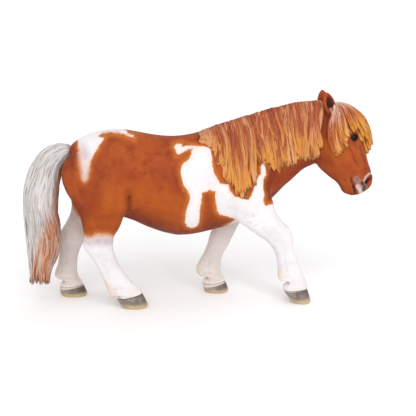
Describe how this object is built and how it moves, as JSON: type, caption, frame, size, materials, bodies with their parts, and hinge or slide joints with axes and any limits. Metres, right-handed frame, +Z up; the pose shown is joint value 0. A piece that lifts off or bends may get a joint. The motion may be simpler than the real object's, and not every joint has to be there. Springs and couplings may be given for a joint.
{
  "type": "shetland pony statue",
  "caption": "Life-size cast resin statue of a skewbald Shetland pony walking with its head lowered, with sculpted mane, forelock and tail.",
  "frame": {"origin": "on the floor under the middle of the statue's bounding box", "axes": "+X towards the nose, +Y the pony's left side, +Z up"},
  "size_m": [1.8502, 0.416, 1.1251],
  "materials": {
    "painted_body": "hand painted resin, chestnut and white, satin",
    "painted_legs": "hand painted resin, white with a warm shade, satin",
    "painted_hoof": "hand painted resin, grey horn with a tan rim",
    "painted_eye": "gloss black eye",
    "painted_mane": "hand painted resin, ginger with lighter tips",
    "painted_tail": "hand painted resin, cream with ginger streaks"
  },
  "bodies": {
    "root": {"torso": "painted_body", "neck": "painted_body", "head": "painted_body", "ear_left": "painted_body", "ear_right": "painted_body", "leg_fore_right": "painted_legs", "leg_fore_left": "painted_legs", "leg_hind_right": "painted_legs", "leg_hind_left": "painted_legs", "hoof_fore_right": "painted_hoof", "hoof_fore_left": "painted_hoof", "hoof_hind_right": "painted_hoof", "hoof_hind_left": "painted_hoof", "eye_left": "painted_eye", "eye_right": "painted_eye", "mane": "painted_mane", "forelock": "painted_mane", "tail": "painted_tail"}
  },
  "joints": []
}
